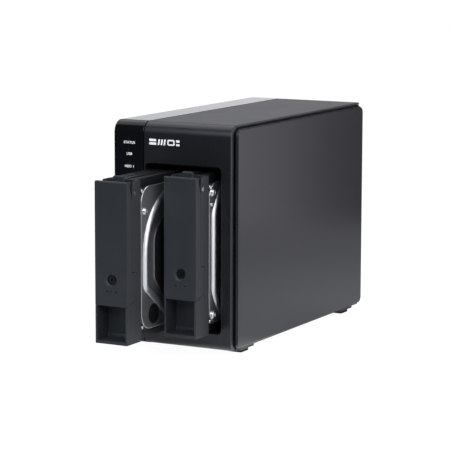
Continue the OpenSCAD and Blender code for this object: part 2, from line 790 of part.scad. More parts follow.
module tray_frame()
    color(dark_plastic) difference() {
        union() {
            // Side plate beside the drive's circuit board
            box([rail_x0, -0.1], [block_d, frame_end], [tray_z[0], frame_top]);
            // Upper and lower rails
            box([rail_x0, rail_x1], [block_d, frame_end], [drive_z1 + 0.2, frame_top]);
            box([rail_x0, rail_x1], [block_d, frame_end], [tray_z[0], drive_z0 - 0.2]);
            // Rear bar above the connector
            box([rail_x0, rail_x1], [drive_y1 + 0.2, frame_end + 0.6], [82, drive_z1 + 1]);
        }
        // Grooves that run on the bay's fins
        groove = [fin_xs[0] - fin_gap, fin_xs[0] + fin_w + fin_gap];
        for (z = [[frame_top - groove_depth, 140], [0, tray_z[0] + groove_depth]])
            box(groove, [block_d - 1, frame_end + 2], z);
        // Countersunk holes for the drive's mounting screws
        for (y = mount_ys) {
            rod_z(1.5, [0, 200], [mount_x, y]);
            rod_z(3, [131.6, 140], [mount_x, y]);
            rod_z(3, [0, tray_z[0] + 1.8], [mount_x, y]);
        }
        // Cooling slots in the side plate
        for (y = [34 : 27 : 142], z = [40, 82])
            along_x([rail_x0 - 1, 0.5]) rounded([y, y + 19], [z, z + 28], 3);
    }

module drive_casting()
    color(drive_grey) difference() {
        along_x([2, cover_x0]) rounded([drive_y0, drive_y1], [drive_z0, drive_z1], 3);
        // Step below the cover's round corners
        for (y = [drive_y0, drive_y1], z = [drive_z0, drive_z1])
            box([cover_x0 - 1, cover_x0 + 1], [y - 5, y + 5], [z - 5, z + 5]);
        // Notch for the connector
        box([1, 8.6], [drive_y1 - 9, drive_y1 + 1], [plug_z[0] - 0.6, plug_z[1] + 0.6]);
        for (y = mount_ys) {
            rod_z(1.5, [drive_z1 - 4, drive_z1 + 1], [mount_x, y]);
            rod_z(1.5, [drive_z0 - 1, drive_z0 + 4], [mount_x, y]);
        }
    }

// The cover's outline, and the sunk field behind the pressed ridge
module drive_cover()
    color([0.62, 0.62, 0.65]) difference() {
        along_x([cover_x0, drive_t])
            rounded([drive_y0 + 0.6, drive_y1 - 0.6], [drive_z0 + 0.8, drive_z1 - 0.8], cover_r);
        along_x([drive_t - 0.6, drive_t + 1])
            polygon([[24, 62], [24, 88], [32, 104], [52, 120], [drive_y1 - 32, 120],
                [drive_y1 - 14, 98], [drive_y1 - 14, 56], [drive_y1 - 32, 40], [50, 40]]);
        for (p = cover_screw_points)
            rod_x(1.2, [cover_x0 - 1, drive_t + 1], p);
    }

module cover_screws()
    color(bright_metal) {
        for (p = cover_screw_points) {
            difference() {
                rod_x(2.3, [drive_t, drive_t + 0.9], p);
                rod_x(1, [drive_t + 0.3, drive_t + 1], p, $fn = 6);
            }
            rod_x(1.2, [cover_x0, drive_t + 0.1], p);
        }
    }

module mount_screws()
    color(bright_metal)
        for (y = mount_ys) {
            rod_z(1.5, [drive_z1 - 3.8, 132], [mount_x, y]);
            rod_z(2.8, [131.6, 133.1], [mount_x, y]);
            rod_z(1.5, [tray_z[0] + 1.2, drive_z0 + 3.8], [mount_x, y]);
            rod_z(2.8, [tray_z[0] + 0.3, tray_z[0] + 1.8], [mount_x, y]);
        }

module drive_board()
    color(board_green)
        box([0.3, 1.9], [drive_y0 + 3, drive_y1 - 10], [drive_z0 + 4, drive_z1 - 4]);

module drive_connector()
    color(dark_plastic) difference() {
        box([2, 8.2], [drive_y1 - 8.4, drive_y1], plug_z);
        for (z = [[plug_z[0] + 1, plug_z[0] + 23], [plug_z[0] + 27, plug_z[1] - 1]])
            difference() {
                box([3, 7.2], [drive_y1 - 6, drive_y1 + 1], z);
                box([4.4, 5.6], [drive_y1 - 7, drive_y1 - 0.6], [z[0] - 1, z[1] + 1]);
            }
    }

module left_tray_block() left_tray() tray_block();
module left_tray_handle() left_tray() tray_handle();
module left_handle_pin() left_tray() handle_pin();
module left_handle_spring() left_tray() handle_spring();
module left_lock_barrel() left_tray() lock_barrel();
module left_tray_frame() left_tray() tray_frame();
module left_drive_casting() left_tray() drive_casting();
module left_drive_cover() left_tray() drive_cover();
module left_drive_board() left_tray() drive_board();
module left_drive_connector() left_tray() drive_connector();
module left_cover_screws() left_tray() cover_screws();
module left_mount_screws() left_tray() mount_screws();

module right_tray_block() right_tray() tray_block();
module right_tray_handle() right_tray() tray_handle();
module right_handle_pin() right_tray() handle_pin();
module right_handle_spring() right_tray() handle_spring();
module right_lock_barrel() right_tray() lock_barrel();
module right_tray_frame() right_tray() tray_frame();
module right_drive_casting() right_tray() drive_casting();
module right_drive_cover() right_tray() drive_cover();
module right_drive_board() right_tray() drive_board();
module right_drive_connector() right_tray() drive_connector();
module right_cover_screws() right_tray() cover_screws();
module right_mount_screws() right_tray() mount_screws();

front_bezel();
indicator_column();
light_pipes();
power_button();
led_board();
top_cover();
gloss_top_strip();
base_plate();
left_side_panel();
right_side_panel();
rear_panel();
foot_bases();
foot_pads();
lower_bay_guide();
upper_bay_guide();
cage_left_wall();
cage_right_wall();
backplane_board();
sata_receptacles();
main_board();
bridge_chip();
heatsink();
usb_port();
dc_inlet();
mode_switch();
mode_lever_1();
mode_lever_2();
mode_lever_3();
set_button();
fan_frame();
fan_rotor();
fan_screws();
rear_screws();
board_standoffs();
internal_screws();
fan_cable();
left_tray_block();
left_tray_handle();
left_handle_pin();
left_handle_spring();
left_lock_barrel();
left_tray_frame();
left_drive_casting();
left_drive_cover();
left_drive_board();
left_drive_connector();
left_cover_screws();
left_mount_screws();
right_tray_block();
right_tray_handle();
right_handle_pin();
right_handle_spring();
right_lock_barrel();
right_tray_frame();
right_drive_casting();
right_drive_cover();
right_drive_board();
right_drive_connector();
right_cover_screws();
right_mount_screws();
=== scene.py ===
import json
import math

import bmesh
import bpy
from mathutils import Matrix, Vector


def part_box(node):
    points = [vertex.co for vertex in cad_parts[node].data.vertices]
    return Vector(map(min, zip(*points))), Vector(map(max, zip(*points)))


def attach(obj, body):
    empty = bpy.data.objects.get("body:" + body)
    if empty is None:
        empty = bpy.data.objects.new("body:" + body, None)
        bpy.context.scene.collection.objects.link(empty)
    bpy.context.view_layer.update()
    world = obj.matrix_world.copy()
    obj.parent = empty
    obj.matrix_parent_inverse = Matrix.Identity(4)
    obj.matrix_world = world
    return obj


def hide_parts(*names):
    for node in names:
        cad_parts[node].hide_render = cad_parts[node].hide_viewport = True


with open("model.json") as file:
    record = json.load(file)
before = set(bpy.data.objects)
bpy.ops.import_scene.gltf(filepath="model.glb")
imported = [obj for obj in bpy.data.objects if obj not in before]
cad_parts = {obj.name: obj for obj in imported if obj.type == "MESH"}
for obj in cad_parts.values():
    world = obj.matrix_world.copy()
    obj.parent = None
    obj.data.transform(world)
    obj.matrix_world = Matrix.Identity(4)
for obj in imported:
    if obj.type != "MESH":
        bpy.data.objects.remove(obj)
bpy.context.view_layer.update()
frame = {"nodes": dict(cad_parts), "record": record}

# Two-bay network storage enclosure with both drive trays part way out. The CAD nodes keep their shape and get
# softened edges and their finishes. Small pieces that only show are added here: the printing on the front and
# the back, the stamped lids of the drives with their labels and screws, and the contacts in the sockets.

MM = 0.001
SIDES = ("left", "right")
TRAY_CORNER = {side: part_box(f"{side}_tray_block")[0] for side in SIDES}


# ---------- node trees and meshes ----------

class Tree:
    """A node tree written as calls."""

    def __init__(self, node_tree):
        self.tree = node_tree
        self.tree.nodes.clear()

    def add(self, kind, inputs=None, **settings):
        """A new shader node. Each input is a value, or a socket that is linked to it."""
        node = self.tree.nodes.new("ShaderNode" + kind)
        for name, value in settings.items():
            setattr(node, name, value)
        for key, value in (inputs or {}).items():
            if isinstance(value, bpy.types.NodeSocket):
                self.tree.links.new(value, node.inputs[key])
            else:
                node.inputs[key].default_value = value
        return node

    def ramp(self, value, start, end, low=0.0, high=1.0):
        """Goes smoothly from low, where the value is start, to high, where it is end."""
        return self.add("MapRange", {"Value": value, "From Min": start, "From Max": end, "To Min": low,
            "To Max": high}, interpolation_type="SMOOTHSTEP").outputs[0]

    def mix(self, share, first, second, blend="MIX"):
        """The first colour at a share of 0 and the second at a share of 1."""
        return self.add("Mix", {0: share, 6: first, 7: second}, data_type="RGBA", blend_type=blend).outputs[2]

    def glowing_white(self, glow_colour, glow, white):
        """The output for a surface that glows and is also lit by the rest of the studio."""
        shine = self.add("Emission", {"Color": glow_colour, "Strength": glow})
        matte = self.add("BsdfDiffuse", {"Color": white})
        both = self.add("AddShader", {0: shine.outputs[0], 1: matte.outputs[0]})
        self.add("OutputMaterial", {"Surface": both.outputs[0]})


def bsdf_material(name):
    """A new material and its empty tree."""
    material = bpy.data.materials.new(name)
    material.use_nodes = True
    return material, Tree(material.node_tree)


def scaled(colour, factor):
    """An opaque colour, made lighter or darker by a factor."""
    return (*(channel * factor for channel in colour), 1)


def as_mesh(name, shape):
    """The mesh of a finished bmesh, which is freed."""
    mesh = bpy.data.meshes.new(name)
    shape.to_mesh(mesh)
    shape.free()
    return mesh


# ---------- camera and studio ----------

# Lens and sensor in millimetres, the camera's place in metres, and how far it turns, looks down and rolls, in
# degrees
LENS, SENSOR = 169.65, 36
CAMERA_PLACE = (0.7529, -1.4288, 0.3215)
CAMERA_TURN, CAMERA_DOWN, CAMERA_ROLL = 28.26, 8.5, 0.13


def make_camera():
    """A long lens from the front right, a little above the object."""
    data = bpy.data.cameras.new("camera")
    data.sensor_width = SENSOR
    data.lens = LENS
    camera = bpy.data.objects.new("camera", data)
    turn = Matrix.Rotation(math.radians(CAMERA_TURN), 4, "Z")
    tilt = Matrix.Rotation(math.radians(90 - CAMERA_DOWN), 4, "X")
    roll = Matrix.Rotation(math.radians(CAMERA_ROLL), 4, "Z")
    camera.matrix_world = Matrix.Translation(CAMERA_PLACE) @ turn @ tilt @ roll
    bpy.context.scene.collection.objects.link(camera)
    bpy.context.scene.camera = camera


# Broad lights of the studio: direction, cosines where each starts and is full, the height of direction above which
# it fades out, and strength in red, green and blue. SKY_FADE is the step in height over which a light fades out.
SKY_LIGHTS = (
    ((0.2, 1.0, 0.0), 0.3, 0.85, 0.14, (0.97, 0.95, 0.98)),
    ((0.91, 0.42, 0.0), 0.88, 0.965, 0.14, (1.0, 0.98, 0.95)),
    ((-0.47, 0.3, 0.83), 0.81, 0.9, 1.0, (1.3, 1.3, 1.35)),
)
SKY_FADE = 0.16
ROOM_LIGHT = (0.09, 0.1, 0.12)

# Soft boxes that only reflections and shading see: centre, what each faces, width, height, fade and strength
SOFT_BOXES = {
    "front_box": ((0.0, -1.25, 1.05), (-0.05, 0.0, 0.1), 1.7, 1.0, 0.75, (2.5, 2.7, 3.0)),
    "key_box": ((0.9, -1.35, 1.25), (0.0, 0.0, 0.1), 1.9, 1.5, 0.6, (5.1, 5.2, 5.4)),
    "right_box": ((1.25, -0.22, 1.05), (0.0, 0.0, 0.1), 1.0, 0.9, 0.6, (4.0, 4.0, 4.0)),
    "ridge_box": ((0.6, -0.04, 0.3), (0.0, -0.04, 0.15), 0.62, 1.4, 0.6, (1.5, 1.48, 1.46)),
}


def make_world():
    """Soft light from every side, strongest from behind and from above."""
    world = bpy.data.worlds.new("studio")
    world.use_nodes = True
    tree = Tree(world.node_tree)
    direction = tree.add("TexCoord").outputs["Generated"]
    height = tree.add("SeparateXYZ", {0: direction}).outputs["Z"]
    light = ROOM_LIGHT
    for toward, start, full, top, strength in SKY_LIGHTS:
        cosine = tree.add("VectorMath", {0: direction, 1: Vector(toward).normalized()}, operation="DOT_PRODUCT")
        share = tree.ramp(cosine.outputs["Value"], start, full)
        below = tree.ramp(height, top + SKY_FADE, top)
        both = tree.add("Math", {0: share, 1: below}, operation="MULTIPLY")
        light = tree.add("VectorMath", {0: both.outputs[0], 1: strength, 2: light},
            operation="MULTIPLY_ADD").outputs[0]
    shade = tree.add("Background", {"Color": light})
    tree.add("OutputWorld", {"Surface": shade.outputs[0]})
    bpy.context.scene.world = world
    bpy.context.scene.view_settings.view_transform = "Standard"


def stage_object(name, mesh, material, for_camera):
    """A piece of the studio, seen either by the camera alone or by everything but the camera."""
    mesh.materials.append(material)
    obj = bpy.data.objects.new(name, mesh)
    bpy.context.scene.collection.objects.link(obj)
    obj.visible_camera = for_camera
    for ray in ("diffuse", "glossy", "transmission", "volume_scatter", "shadow"):
        setattr(obj, "visible_" + ray, not for_camera)
    return obj


def disc_mesh(name, radius):
    """A flat round disc about the origin."""
    disc = bmesh.new()
    bmesh.ops.create_circle(disc, cap_ends=True, segments=64, radius=radius)
    return as_mesh(name, disc)


def backdrop_material(name, glow, white):
    """A white that glows evenly and catches a little of the shading."""
    material, tree = bsdf_material(name)
    tree.glowing_white((1, 1, 1, 1), glow, scaled((1, 1, 1), white))
    return material


def soft_box(name, centre, target, width, height, fade_from, strength):
    """A glowing panel that fades towards its edges."""
    material, tree = bsdf_material(name)
    place = tree.add("TexCoord").outputs["Generated"]
    away = tree.add("VectorMath", {0: place, 1: (-2, -2, 0), 2: (1, 1, 0)}, operation="MULTIPLY_ADD").outputs[0]
    away = tree.add("VectorMath", {0: away}, operation="ABSOLUTE").outputs[0]
    sides = tree.add("SeparateXYZ", {0: away})
    edge = tree.add("Math", {0: sides.outputs["X"], 1: sides.outputs["Y"]}, operation="MAXIMUM")
    fade = tree.ramp(edge.outputs[0], 1.0, fade_from)
    shine = tree.add("Emission", {"Color": (*strength, 1), "Strength": fade})
    tree.add("OutputMaterial", {"Surface": shine.outputs[0]})
    panel = bmesh.new()
    bmesh.ops.create_grid(panel, x_segments=1, y_segments=1, size=0.5)
    bmesh.ops.scale(panel, vec=(width, height, 1), verts=panel.verts)
    obj = stage_object(name, as_mesh(name, panel), material, False)
    facing = (Vector(target) - Vector(centre)).to_track_quat("Z", "Y")
    obj.matrix_world = Matrix.Translation(centre) @ facing.to_matrix().to_4x4()


# The board right of the enclosure: where it stands in X, its ends in Y, how far it goes up and down, its tones, and
# where in Y it turns from the one to the other
CARD_X, CARD_Y, CARD_Z = 0.5, (0.25, 1.7), 0.5
CARD_WHITE, CARD_DARK = (1.03, 1.03, 1.1, 1), (0.02, 0.02, 0.03, 1)
CARD_TURN = (0.8, 0.97)


def side_card():
    """A white board right of the enclosure that its side mirrors, darker towards the back."""
    material, tree = bsdf_material("side_card")
    depth = tree.add("SeparateXYZ", {0: tree.add("TexCoord").outputs["Object"]}).outputs["Y"]
    shine = tree.add("Emission", {"Color": tree.mix(tree.ramp(depth, *CARD_TURN), CARD_WHITE, CARD_DARK)})
    tree.add("OutputMaterial", {"Surface": shine.outputs[0]})
    near, far = CARD_Y
    mesh = bpy.data.meshes.new("side_card")
    mesh.from_pydata([(CARD_X, near, -CARD_Z), (CARD_X, far, -CARD_Z), (CARD_X, far, CARD_Z),
        (CARD_X, near, CARD_Z)], [], [(0, 1, 2, 3)])
    stage_object("side_card", mesh, material, False)


# The table: its glow and white beside the enclosure, half of the enclosure's footprint, the distances from there
# between which both fade, and the share that stays. Then the place, edge and glow of the bright pool.
TABLE_RADIUS = 0.6
TABLE_GLOW, TABLE_WHITE, TABLE_TINT = 0.42, (0.42, 0.42, 0.43), (0.98, 1, 1.04, 1)
FOOTPRINT, TABLE_FADE, TABLE_FAR = (0.051, 0.11, 0), (0.04, 0.34), 0.68
POOL_PLACE, POOL_EDGE, POOL_GLOW = (0.034, -0.07, 0), (0.03, 0.06), 0.85


def table_top():
    """The white table as the object mirrors it: it fades away from the enclosure, and is brightest in a pool
    before the right tray."""
    material, tree = bsdf_material("table_top")
    place = tree.add("TexCoord").outputs["Object"]
    away = tree.add("VectorMath", {0: place}, operation="ABSOLUTE").outputs[0]
    away = tree.add("VectorMath", {0: away, 1: FOOTPRINT}, operation="SUBTRACT").outputs[0]
    away = tree.add("VectorMath", {0: away, 1: (0, 0, 0)}, operation="MAXIMUM").outputs[0]
    distance = tree.add("VectorMath", {0: away}, operation="LENGTH").outputs["Value"]
    fade = tree.ramp(distance, *TABLE_FADE, 1, TABLE_FAR)
    to_pool = tree.add("VectorMath", {0: place, 1: POOL_PLACE}, operation="DISTANCE").outputs["Value"]
    pool = tree.ramp(to_pool, *POOL_EDGE, POOL_GLOW, 0)
    glow = tree.add("Math", {0: fade, 1: TABLE_GLOW, 2: pool}, operation="MULTIPLY_ADD")
    white = tree.add("VectorMath", {0: TABLE_WHITE, 1: fade}, operation="MULTIPLY")
    tree.glowing_white(TABLE_TINT, glow.outputs[0], white.outputs[0])
    table = stage_object("table_top", disc_mesh("table_top", TABLE_RADIUS), material, False)
    table.location.z = -0.5 * MM


# Radius, glow and white of what the camera sees round the object
FLOOR = (5, 0.97, 0.12)
BACKDROP = (6, 1.05, 0.0)


def make_stage():
    """Floor and backdrop for the camera, and the lights and boards that the object sees instead."""
    radius, glow, white = FLOOR
    stage_object("floor", disc_mesh("floor", radius), backdrop_material("floor", glow, white), True)
    radius, glow, white = BACKDROP
    dome = bmesh.new()
    bmesh.ops.create_icosphere(dome, subdivisions=4, radius=radius)
    stage_object("backdrop", as_mesh("backdrop", dome), backdrop_material("backdrop", glow, white), True)
    for name, settings in SOFT_BOXES.items():
        soft_box(name, *settings)
    side_card()
    table_top()


# ---------- finishes ----------

# The range that most of a noise lies in, and the least roughness
NOISE_LOW, NOISE_HIGH = 0.3, 0.7
LEAST_ROUGH = 0.02


def finish(name, colour, rough, metal=0.0, specular=0.5, grain=0.3, depth=0.004, mottle=0.08, drift=0.05,
        patch=18, stretch=(1, 1, 1), glow=0.0):
    """A material with a fine grain, and slow changes of tone and gloss. grain, depth and patch are in millimetres;
    mottle is the share by which the tone changes, and drift how much the roughness does. glow is a painted glow: the
    surface shines by itself though it is no lamp."""
    material, tree = bsdf_material(name)
    place = tree.add("TexCoord").outputs["Object"]
    along = tree.add("Mapping", {"Vector": place, "Scale": stretch}).outputs[0]
    fine = tree.add("TexNoise", {"Vector": along, "Scale": 1 / (grain * MM), "Detail": 2.0})
    broad = tree.add("TexNoise", {"Vector": place, "Scale": 1 / (patch * MM), "Detail": 4.0, "Roughness": 0.6})
    tone = tree.mix(broad.outputs[0], scaled(colour, 1 - mottle), scaled(colour, 1 + mottle))
    speck = tree.mix(fine.outputs[0], scaled((1, 1, 1), 1 - mottle), scaled((1, 1, 1), 1 + mottle))
    shade = tree.mix(1.0, tone, speck, "MULTIPLY")
    gloss = tree.add("MapRange", {"Value": broad.outputs[0], "From Min": NOISE_LOW,
        "From Max": NOISE_HIGH, "To Min": max(rough - drift, LEAST_ROUGH), "To Max": rough + drift})
    bump = tree.add("Bump", {"Height": fine.outputs[0], "Distance": depth * MM})
    surface = tree.add("BsdfPrincipled", {"Base Color": shade, "Roughness": gloss.outputs[0], "Metallic": metal,
        "Specular IOR Level": specular, "Emission Color": (1, 1, 1, 1), "Emission Strength": glow,
        "Normal": bump.outputs[0]})
    tree.add("OutputMaterial", {"Surface": surface.outputs[0]})
    return material


# Colours of a circuit board's mask over bare board and over copper, and of its tin
MASK_GREEN, TRACK_GREEN, TIN = (0.006, 0.045, 0.022, 1), (0.012, 0.085, 0.04, 1), (0.6, 0.58, 0.5, 1)
# In millimetres: the pitches of the bends in its tracks and of its pads, the pads' half size as a share of their
# pitch, and how far copper and tin stand out
BEND_PITCH, PAD_PITCH, PAD_SHARE, COPPER_RISE = 7, 4.2, 0.17, 0.03
TRACKS_PER_METRE = 90.0
MASK_ROUGH, TIN_ROUGH = 0.22, 0.35


def board_finish(name):
    """Green solder mask over raised copper tracks, with tinned pads."""
    material, tree = bsdf_material(name)
    place = tree.add("TexCoord").outputs["Object"]
    bend = tree.add("TexVoronoi", {"Vector": place, "Scale": 1 / (BEND_PITCH * MM)}, distance="CHEBYCHEV")
    warped = tree.add("VectorMath", {0: place, 1: bend.outputs["Distance"]}, operation="ADD")
    tracks = tree.add("TexWave", {"Vector": warped.outputs[0], "Scale": TRACKS_PER_METRE}, bands_direction="DIAGONAL",
        wave_profile="TRI")
    raised = tree.add("MapRange", {"Value": tracks.outputs["Fac"], "From Min": 0.5, "From Max": 0.62})
    pads = tree.add("TexVoronoi", {"Vector": place, "Scale": 1 / (PAD_PITCH * MM), "Randomness": 0.35},
        distance="CHEBYCHEV")
    tinned = tree.add("Math", {0: pads.outputs["Distance"], 1: PAD_SHARE}, operation="LESS_THAN").outputs[0]
    colour = tree.mix(tinned, tree.mix(raised.outputs[0], MASK_GREEN, TRACK_GREEN), TIN)
    rough = tree.add("Mix", {0: tinned, 2: MASK_ROUGH, 3: TIN_ROUGH})
    height = tree.add("Math", {0: raised.outputs[0], 1: tinned}, operation="ADD")
    bump = tree.add("Bump", {"Height": height.outputs[0], "Distance": COPPER_RISE * MM})
    surface = tree.add("BsdfPrincipled", {"Base Color": colour, "Metallic": tinned,
        "Roughness": rough.outputs[0], "Normal": bump.outputs[0]})
    tree.add("OutputMaterial", {"Surface": surface.outputs[0]})
    return material


FINISHES = {
    "bezel_plastic": finish("satin_bezel", (0.0095, 0.0105, 0.0125), 0.31, grain=0.35, depth=0.003),
    "gloss_black": finish("gloss_column", (0.003, 0.0033, 0.0043), 0.07, specular=0.3, grain=5, depth=0.0015,
        drift=0.02),
    "smoked_lens": finish("smoked_lens", (0.003, 0.0032, 0.004), 0.12, grain=1, depth=0.001),
    "button_plastic": finish("button_black", (0.006, 0.006, 0.007), 0.25, grain=0.3, depth=0.003),
    "circuit_board": board_finish("solder_mask"),
    "top_cover_paint": finish("top_paint", (0.045, 0.045, 0.048), 0.42, grain=0.45, depth=0.004, drift=0.02),
    "base_paint": finish("base_paint", (0.012, 0.012, 0.014), 0.5, grain=0.5, depth=0.012),
    "side_panel_paint": finish("side_paint", (0.0105, 0.011, 0.013), 0.22, grain=0.45, depth=0.0008,
        mottle=0.03, drift=0.01),
    "rear_panel_paint": finish("rear_powder_coat", (0.012, 0.012, 0.0135), 0.55, grain=0.8, depth=0.03),
    "black_plastic": finish("black_plastic", (0.008, 0.008, 0.009), 0.45, grain=0.5, depth=0.012),
    "foot_rubber": finish("foot_rubber", (0.007, 0.007, 0.007), 0.85, specular=0.3, grain=0.6, depth=0.03),
    "sheet_steel": finish("galvanised_sheet", (0.45, 0.46, 0.48), 0.34, metal=1, grain=2.5, depth=0.004,
        mottle=0.2, drift=0.1, patch=6),
    "chip_resin": finish("chip_resin", (0.011, 0.011, 0.012), 0.5, grain=0.15, depth=0.006),
    "heatsink_aluminium": finish("heatsink", (0.6, 0.61, 0.63), 0.3, metal=1, grain=0.4, depth=0.01,
        stretch=(1, 0.05, 1)),
    "port_steel": finish("port_shell", (0.6, 0.6, 0.61), 0.22, metal=1, grain=0.3, depth=0.003,
        stretch=(1, 0.1, 1)),
    "switch_red": finish("switch_red", (0.25, 0.012, 0.01), 0.35),
    "white_plastic": finish("white_plastic", (0.75, 0.75, 0.73), 0.4, mottle=0.03),
    "fan_plastic": finish("fan_plastic", (0.011, 0.011, 0.012), 0.42, grain=0.4, depth=0.01),
    "screw_steel": finish("screw_nickel", (0.72, 0.71, 0.7), 0.22, metal=1, grain=0.2, depth=0.004, patch=2),
    "brass_standoff": finish("brass", (0.6, 0.43, 0.18), 0.25, metal=1, grain=0.3, depth=0.004),
    "cable_jacket": finish("cable_jacket", (0.009, 0.009, 0.009), 0.5, grain=0.5, depth=0.01),
    "tray_plastic": finish("tray_plastic", (0.0245, 0.0275, 0.0315), 0.5, specular=0.35, grain=0.4, depth=0.01,
        mottle=0.1),
    "spring_steel": finish("spring_steel", (0.5, 0.5, 0.5), 0.25, metal=1, grain=0.2, depth=0.003),
    "lock_metal": finish("lock_black", (0.003, 0.003, 0.0035), 0.3, specular=0.4, grain=0.3, depth=0.004),
    "drive_casting": finish("drive_casting", (0.02, 0.02, 0.022), 0.42, grain=0.7, depth=0.02),
    "drive_cover_steel": finish("stamped_cover", (0.82, 0.83, 0.86), 0.3, metal=1, grain=0.35, depth=0.0003,
        mottle=0.04, drift=0.02, patch=25, stretch=(1, 0.12, 1)),
}
# The white ink is print, and it also glows a little: a painted brightness on the printing.
INK_WITH_PAINTED_GLOW = finish("white_ink_painted_glow", (0.92, 0.92, 0.92), 0.5, mottle=0.03, grain=0.15, depth=0.002, glow=0.25)
LABEL = finish("label_print", (0.006, 0.006, 0.007), 0.35, grain=0.3, depth=0.002, mottle=0.15)
# Near-black foil of the drive's seal, also used as painted shade inside the sunk lock marks.
SEAL_AND_MARK_SHADE = finish("seal_foil_and_painted_shade", (0.003, 0.003, 0.0035), 0.45, specular=0.2, grain=0.5, depth=0.004)
GOLD = finish("contact_gold", (0.85, 0.6, 0.25), 0.2, metal=1, grain=0.2, depth=0.002)


def finish_cad_nodes():
    """Gives each CAD node the finish of its slot in the record."""
    slots = {part["node"]: part["material_slot"] for part in frame["record"]["subparts"]}
    for name, node in frame["nodes"].items():
        for slot in node.material_slots:
            slot.material = FINISHES[slots[name]]


# ---------- edges of the CAD nodes ----------

# Edges that turn by more than this stay crisp or get a rounding, and faces that turn by less than FLAT are joined
CRISP, FLAT = math.radians(32), math.radians(0.6)
# Points of a node that are closer than this are one point, in millimetres
SAME_POINT = 0.002


def smoothing_group():
    """Shades faces smooth where they meet at a small angle, and keeps the other edges crisp."""
    group = bpy.data.node_groups.new("smooth_by_angle", "GeometryNodeTree")
    group.interface.new_socket("Geometry", in_out="INPUT", socket_type="NodeSocketGeometry")
    group.interface.new_socket("Geometry", in_out="OUTPUT", socket_type="NodeSocketGeometry")
    start = group.nodes.new("NodeGroupInput")
    end = group.nodes.new("NodeGroupOutput")
    angle = group.nodes.new("GeometryNodeInputMeshEdgeAngle")
    sharp = group.nodes.new("FunctionNodeCompare")
    sharp.operation = "GREATER_THAN"
    sharp.inputs[1].default_value = CRISP
    faces = group.nodes.new("GeometryNodeSetShadeSmooth")
    edges = group.nodes.new("GeometryNodeSetShadeSmooth")
    edges.domain = "EDGE"
    edges.inputs["Shade Smooth"].default_value = False
    group.links.new(angle.outputs["Unsigned Angle"], sharp.inputs[0])
    group.links.new(start.outputs[0], faces.inputs["Geometry"])
    group.links.new(faces.outputs[0], edges.inputs["Geometry"])
    group.links.new(sharp.outputs[0], edges.inputs["Selection"])
    group.links.new(edges.outputs[0], end.inputs[0])
    return group


# Width in millimetres of the rounding on each node's sharp edges
SOFT_EDGES = {
    "front_bezel": 0.45, "indicator_column": 0.45, "top_cover": 0.8, "gloss_top_strip": 0.3,
    "right_side_panel": 0.25, "left_side_panel": 0.25, "foot_bases": 0.4, "foot_pads": 0.4, "base_plate": 0.3,
    "left_tray_block": 0.3, "right_tray_block": 0.3, "left_tray_handle": 0.2, "right_tray_handle": 0.2,
}


def soften_all():
    """Welds each node's faces together, rounds the edges of those that show, and smooths the shading."""
    smoothing = smoothing_group()
    for name, node in frame["nodes"].items():
        weld = node.modifiers.new("weld", "WELD")
        weld.merge_threshold = SAME_POINT * MM
        if name in SOFT_EDGES:
            flat = node.modifiers.new("flat", "DECIMATE")
            flat.decimate_type = "DISSOLVE"
            flat.angle_limit = FLAT
            bevel = node.modifiers.new("bevel", "BEVEL")
            bevel.width = SOFT_EDGES[name] * MM
            bevel.segments = 3
            bevel.limit_method = "ANGLE"
            bevel.angle_limit = CRISP
            bevel.use_clamp_overlap = False
            bevel.miter_outer = "MITER_ARC"
        node.modifiers.new("smooth", "NODES").node_group = smoothing
        if name in SOFT_EDGES:
            node.modifiers.new("normals", "WEIGHTED_NORMAL").keep_sharp = True


# ---------- meshes ----------

def add_piece(name, mesh, body, material):
    """A piece that only shows. It moves with a body."""
    mesh.materials.append(material)
    piece = bpy.data.objects.new(name, mesh)
    bpy.context.scene.collection.objects.link(piece)
    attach(piece, body)
    return piece


SMOOTH_ANGLE = 35


def smoothed(mesh, angle=SMOOTH_ANGLE):
    """Shades the mesh smooth except at edges that turn by more than the angle, in degrees."""
    mesh.shade_smooth()
    mesh.set_sharp_from_angle(angle=math.radians(angle))
    return mesh


def closed_mesh(name, loops, smooth_angle=SMOOTH_ANGLE, hollow=False):
    """A closed shell through rings of points of the same length. The first and the last ring get flat caps, or
    are joined to each other if it is hollow."""
    shell = bmesh.new()
    rings = [[shell.verts.new(point) for point in loop] for loop in loops]
    pairs = list(zip(rings, rings[1:]))
    if hollow:
        pairs.append((rings[-1], rings[0]))
    else:
        shell.faces.new(list(reversed(rings[0])))
        shell.faces.new(rings[-1])
    for lower, upper in pairs:
        for i in range(len(lower)):
            j = (i + 1) % len(lower)
            shell.faces.new((lower[i], lower[j], upper[j], upper[i]))
    bmesh.ops.recalc_face_normals(shell, faces=shell.faces)
    return smoothed(as_mesh(name, shell), smooth_angle)


def round_path(u, v, radius, count=64):
    """A circle as a closed outline."""
    turns = [math.tau * k / count for k in range(count)]
    return [Vector((u + radius * math.cos(t), v + radius * math.sin(t))) for t in turns]


def rounded_path(corners, steps=10):
    """The closed outline through corners of (u, v, radius), each rounded with an arc."""
    points = []
    for i, (u, v, radius) in enumerate(corners):
        corner = Vector((u, v))
        before = (Vector(corners[i - 1][:2]) - corner).normalized()
        after = (Vector(corners[(i + 1) % len(corners)][:2]) - corner).normalized()
        half = before.angle(after) / 2
        centre = corner + (before + after).normalized() * (radius / math.sin(half))
        start = corner + before * (radius / math.tan(half)) - centre
        end = corner + after * (radius / math.tan(half)) - centre
        sweep = start.angle_signed(end)
        for k in range(steps + 1):
            points.append(centre + Matrix.Rotation(-sweep * k / steps, 2) @ start)
    return points


def on_ray(path, centre, angle):
    """Where the ray from centre at that angle leaves a closed outline that surrounds it."""
    ray = Vector((math.cos(angle), math.sin(angle)))
    best = None
    for a, b in zip(path, path[1:] + path[:1]):
        side_a, side_b = ray.cross(a - centre), ray.cross(b - centre)
        if side_a * side_b > 0 or side_a == side_b:
            continue
        point = a + (b - a) * (side_a / (side_a - side_b))
        if (point - centre).dot(ray) > 0:
            best = point
    return best


